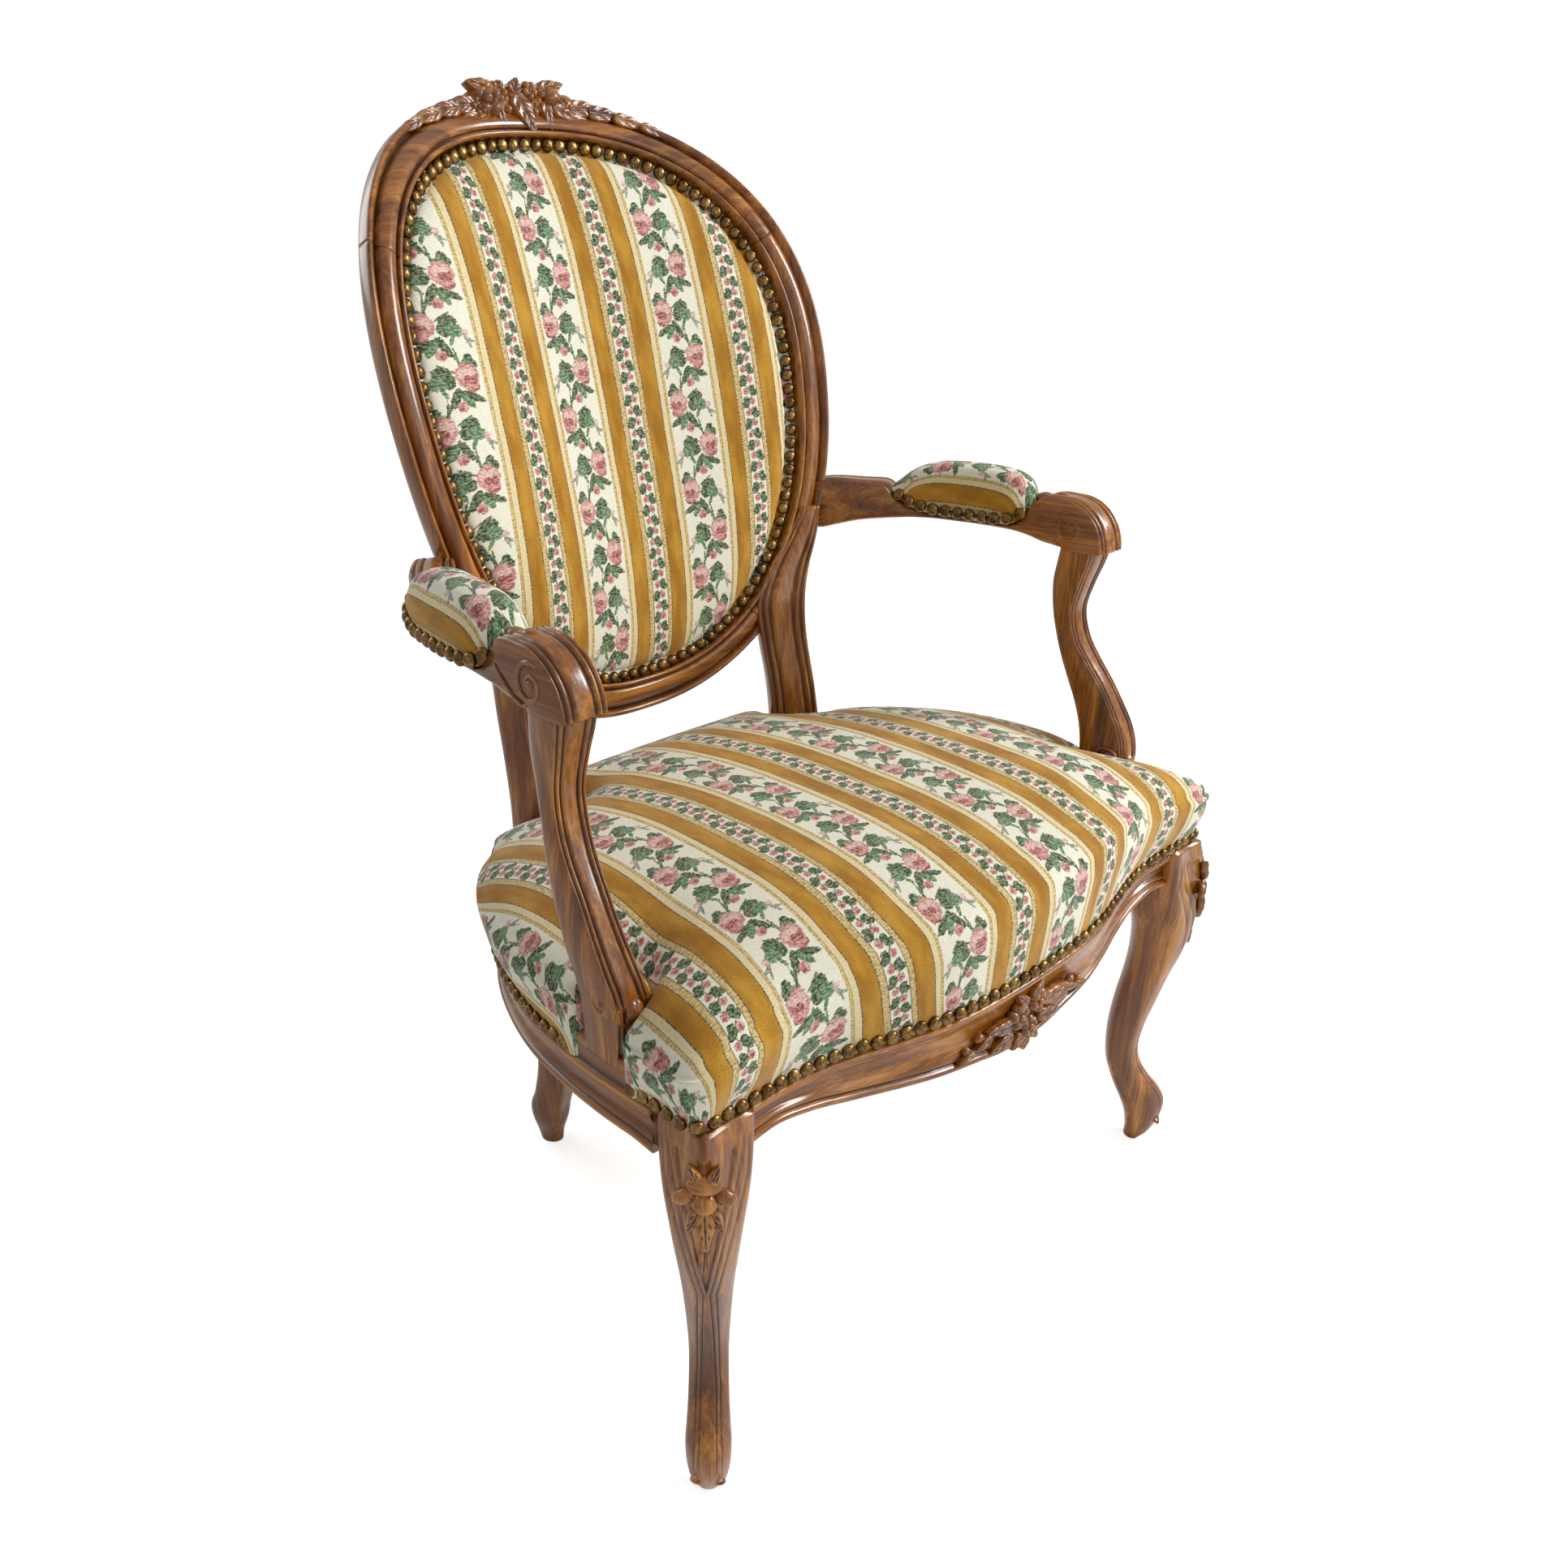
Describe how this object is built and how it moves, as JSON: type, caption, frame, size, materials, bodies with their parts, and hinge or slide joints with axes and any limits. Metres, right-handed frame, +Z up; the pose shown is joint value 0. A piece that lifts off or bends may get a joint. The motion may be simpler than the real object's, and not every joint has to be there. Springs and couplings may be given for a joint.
{
  "type": "medallion-back armchair",
  "caption": "Upholstered armchair with a moulded, carved wooden frame, an oval bent back, cabriole front legs, padded arms and close-nailed striped cloth.",
  "frame": {"origin": "on the floor, at the middle of the chair's overall width and depth", "axes": "+Z up, -Y towards the front, +X towards the sitter's left"},
  "size_m": [0.6674, 0.631, 0.9862],
  "materials": {
    "polished_wood": "stained brown, satin varnish, dark in the grooves",
    "plain_wood": "unfinished, sawn",
    "striped_cloth": "gold velvet stripes and woven flower stripes",
    "stuffing": "fibre stuffing",
    "webbing": "plain woven jute",
    "brass_nails": "antiqued, darkened brass",
    "screws": "plain steel"
  },
  "bodies": {
    "root": {"front_rail": "polished_wood", "rear_rail": "polished_wood", "crest_rail": "polished_wood", "back_bottom_rail": "polished_wood", "front_leg_left": "polished_wood", "front_leg_right": "polished_wood", "side_rail_left": "polished_wood", "side_rail_right": "polished_wood", "rear_upright_left": "polished_wood", "rear_upright_right": "polished_wood", "arm_left": "polished_wood", "arm_right": "polished_wood", "arm_support_left": "polished_wood", "arm_support_right": "polished_wood", "front_corner_brace_left": "plain_wood", "front_corner_brace_right": "plain_wood", "rear_corner_brace_left": "plain_wood", "rear_corner_brace_right": "plain_wood", "seat_cover": "striped_cloth", "back_front_cover": "striped_cloth", "back_rear_cover": "striped_cloth", "arm_cover_left": "striped_cloth", "arm_cover_right": "striped_cloth", "seat_padding": "stuffing", "back_padding": "stuffing", "arm_padding_left": "stuffing", "arm_padding_right": "stuffing", "seat_webbing": "webbing", "back_webbing": "webbing", "seat_nails": "brass_nails", "back_front_nails": "brass_nails", "back_rear_nails": "brass_nails", "arm_nails_left": "brass_nails", "arm_nails_right": "brass_nails", "brace_screws": "screws"}
  },
  "joints": []
}
